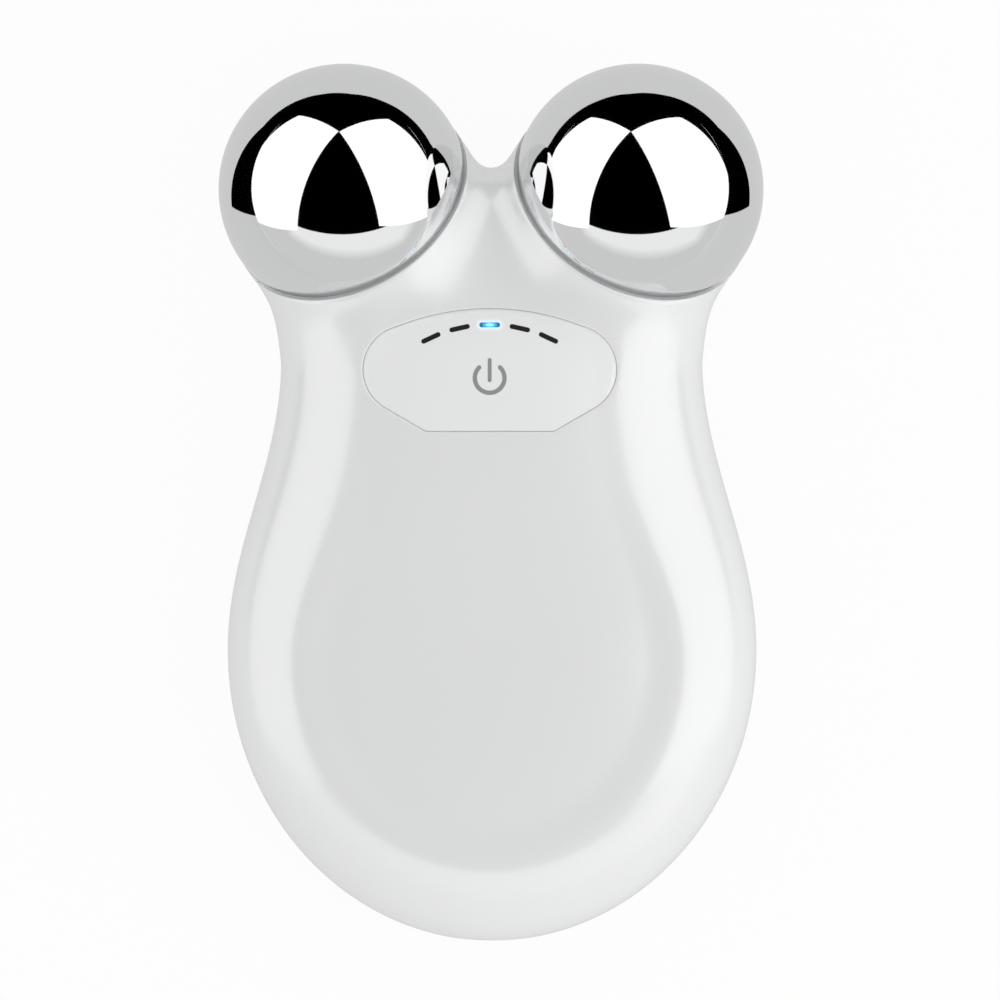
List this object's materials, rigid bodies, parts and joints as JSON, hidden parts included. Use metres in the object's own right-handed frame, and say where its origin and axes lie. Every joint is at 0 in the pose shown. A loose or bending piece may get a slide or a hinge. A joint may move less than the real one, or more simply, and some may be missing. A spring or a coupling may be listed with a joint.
{
  "type": "facial toning device",
  "caption": "Palm-sized white handset with a narrow neck, twin chrome spheres that lean forward and apart, and one power key with a row of indicator bars.",
  "frame": {"origin": "centre of the bounding box on the flat of the back that the device lies on", "axes": "+Z out of the front with the key, +Y along the length towards the spheres, +X to the right as seen from the front"},
  "size_m": [0.068, 0.1098, 0.036],
  "materials": {
    "white_gloss": "glossy",
    "white_key": "satin",
    "dark_lens": "glossy",
    "blue_lens": "glossy",
    "white_matte": "matt",
    "chrome": "mirror polish",
    "black_rubber": "matt",
    "screw_steel": "satin",
    "contact_brass": "satin",
    "black_wire": "satin",
    "red_wire": "satin",
    "board_green": "satin",
    "led_white": "glossy",
    "grey_plastic": "matt",
    "black_plastic": "matt",
    "ferrite": "matt",
    "capacitor_can": "satin",
    "battery_foil": "satin",
    "socket_steel": "satin"
  },
  "bodies": {
    "housing": {"front_shell": "white_gloss", "rear_shell": "white_gloss", "light_baffle": "white_matte", "left_sphere": "chrome", "right_sphere": "chrome", "left_seal": "black_rubber", "right_seal": "black_rubber", "left_sphere_screw": "screw_steel", "right_sphere_screw": "screw_steel", "left_contact_lug": "contact_brass", "right_contact_lug": "contact_brass", "left_electrode_lead": "black_wire", "right_electrode_lead": "red_wire", "main_board": "board_green", "board_screws": "screw_steel", "indicator_leds": "led_white", "switch_body": "grey_plastic", "controller_chip": "black_plastic", "boost_inductor": "ferrite", "capacitors": "capacitor_can", "battery_cell": "battery_foil", "battery_pad": "black_rubber", "battery_leads": "red_wire", "battery_connector": "white_matte", "charging_board": "board_green", "charging_socket": "socket_steel", "charging_screws": "screw_steel", "charging_leads": "red_wire"},
    "key": {"power_key": "white_key", "indicator_lenses": "dark_lens", "lit_lens": "blue_lens"},
    "stem": {"switch_stem": "black_plastic"}
  },
  "joints": [
    {"name": "key_press", "type": "slide", "parent": "housing", "child": "key", "axis": [0, 0, -1], "range_m": [0, 0.0003], "stiffness_N_per_m": 600, "springref_m": -0.001},
    {"name": "stem_press", "type": "slide", "parent": "housing", "child": "stem", "axis": [0, 0, -1], "range_m": [0, 0.0003]}
  ],
  "couplings": [
    {"joint": "stem_press", "follows": "key_press", "ratio": 1}
  ]
}
